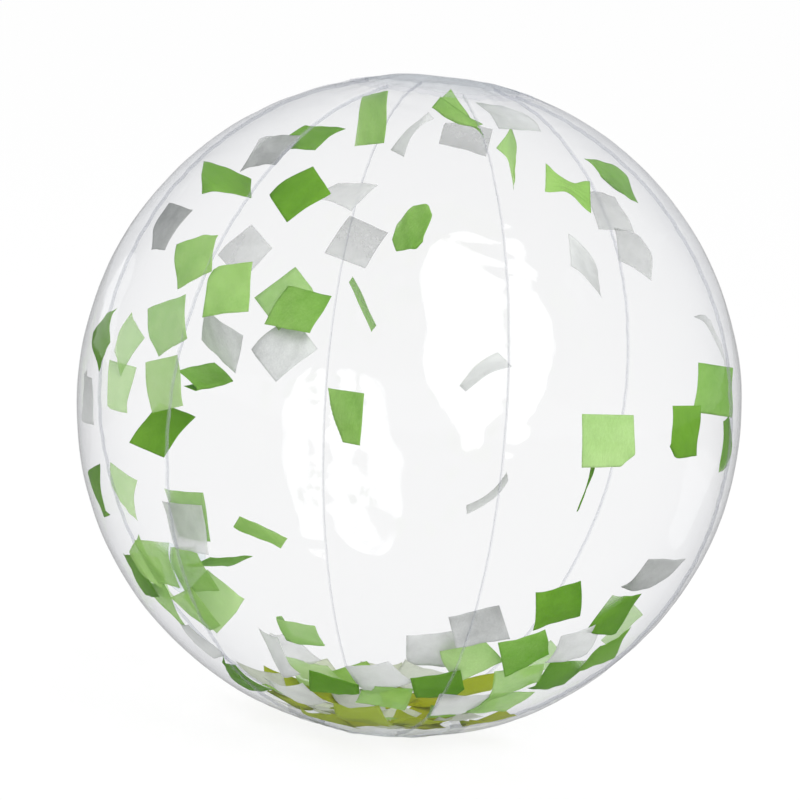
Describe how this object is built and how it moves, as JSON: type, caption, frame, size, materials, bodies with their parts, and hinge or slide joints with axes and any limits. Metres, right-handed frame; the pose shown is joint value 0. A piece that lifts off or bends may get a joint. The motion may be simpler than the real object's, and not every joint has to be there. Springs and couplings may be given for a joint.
{
  "type": "inflatable beach ball",
  "caption": "Clear inflatable beach ball of welded film panels with a disc at each pole, a push-in air valve with a tethered stopper, and loose tissue confetti inside.",
  "frame": {"origin": "centre of the inflated ball", "axes": "+Z runs from the bottom pole to the top pole, through the middles of the two pole discs; a seam between panels lies on the -Y side, and the air valve is in the panel on the -X +Y side, below the equator"},
  "size_m": [0.33, 0.33, 0.327],
  "materials": {
    "clear_film": "clear glossy soft vinyl film",
    "disc_film": "clear glossy soft vinyl film, doubled at the weld",
    "valve_vinyl": "translucent soft moulded vinyl",
    "tissue_green": "thin matte tissue paper",
    "tissue_dark_green": "thin matte tissue paper",
    "tissue_pale_green": "thin matte tissue paper",
    "tissue_white": "thin matte tissue paper"
  },
  "bodies": {
    "ball": {"panel_1": "clear_film", "panel_2": "clear_film", "panel_3": "clear_film", "panel_4": "clear_film", "panel_5": "clear_film", "panel_6": "clear_film", "top_disc": "disc_film", "bottom_disc": "disc_film", "valve_flange": "valve_vinyl", "valve_skirt": "valve_vinyl", "confetti_01": "tissue_green", "confetti_02": "tissue_dark_green", "confetti_03": "tissue_white", "confetti_04": "tissue_dark_green", "confetti_05": "tissue_dark_green", "confetti_06": "tissue_white", "confetti_07": "tissue_green", "confetti_08": "tissue_green", "confetti_09": "tissue_green", "confetti_10": "tissue_pale_green", "confetti_11": "tissue_dark_green", "confetti_12": "tissue_green", "confetti_13": "tissue_white", "confetti_14": "tissue_white", "confetti_15": "tissue_pale_green", "confetti_16": "tissue_dark_green", "confetti_17": "tissue_green", "confetti_18": "tissue_pale_green", "confetti_19": "tissue_green", "confetti_20": "tissue_dark_green", "confetti_21": "tissue_green", "confetti_22": "tissue_white", "confetti_23": "tissue_green", "confetti_24": "tissue_green", "confetti_25": "tissue_pale_green", "confetti_26": "tissue_pale_green", "confetti_27": "tissue_white", "confetti_28": "tissue_dark_green", "confetti_29": "tissue_green", "confetti_30": "tissue_dark_green", "confetti_31": "tissue_dark_green", "confetti_32": "tissue_white", "confetti_33": "tissue_pale_green", "confetti_34": "tissue_dark_green", "confetti_35": "tissue_dark_green", "confetti_36": "tissue_green", "confetti_37": "tissue_green", "confetti_38": "tissue_dark_green", "confetti_39": "tissue_white", "confetti_40": "tissue_green", "far_confetti_green": "tissue_pale_green", "far_confetti_white": "tissue_white", "low_confetti_dark": "tissue_dark_green", "low_confetti_green": "tissue_green", "low_confetti_white": "tissue_white", "heap_confetti_green": "tissue_green", "heap_confetti_white": "tissue_white"},
    "valve": {"valve_stem": "valve_vinyl"},
    "flap": {"check_flap": "valve_vinyl"},
    "stopper": {"stopper": "valve_vinyl"}
  },
  "joints": [
    {"name": "valve_pull", "type": "slide", "parent": "ball", "child": "valve", "axis": [-0.5417, 0.5417, -0.6428], "range_m": [0, 0.012], "deforming": ["valve_skirt"]},
    {"name": "flap_swing", "type": "hinge", "parent": "valve", "child": "flap", "pos_m": [-0.07796, 0.07796, -0.09995], "axis": [0.7071, 0.7071, 0], "range_deg": [0, 60]},
    {"name": "stopper_swing", "type": "hinge", "parent": "valve", "child": "stopper", "pos_m": [-0.09618, 0.09618, -0.09716], "axis": [0.7071, 0.7071, 0], "range_deg": [0, 150]}
  ]
}
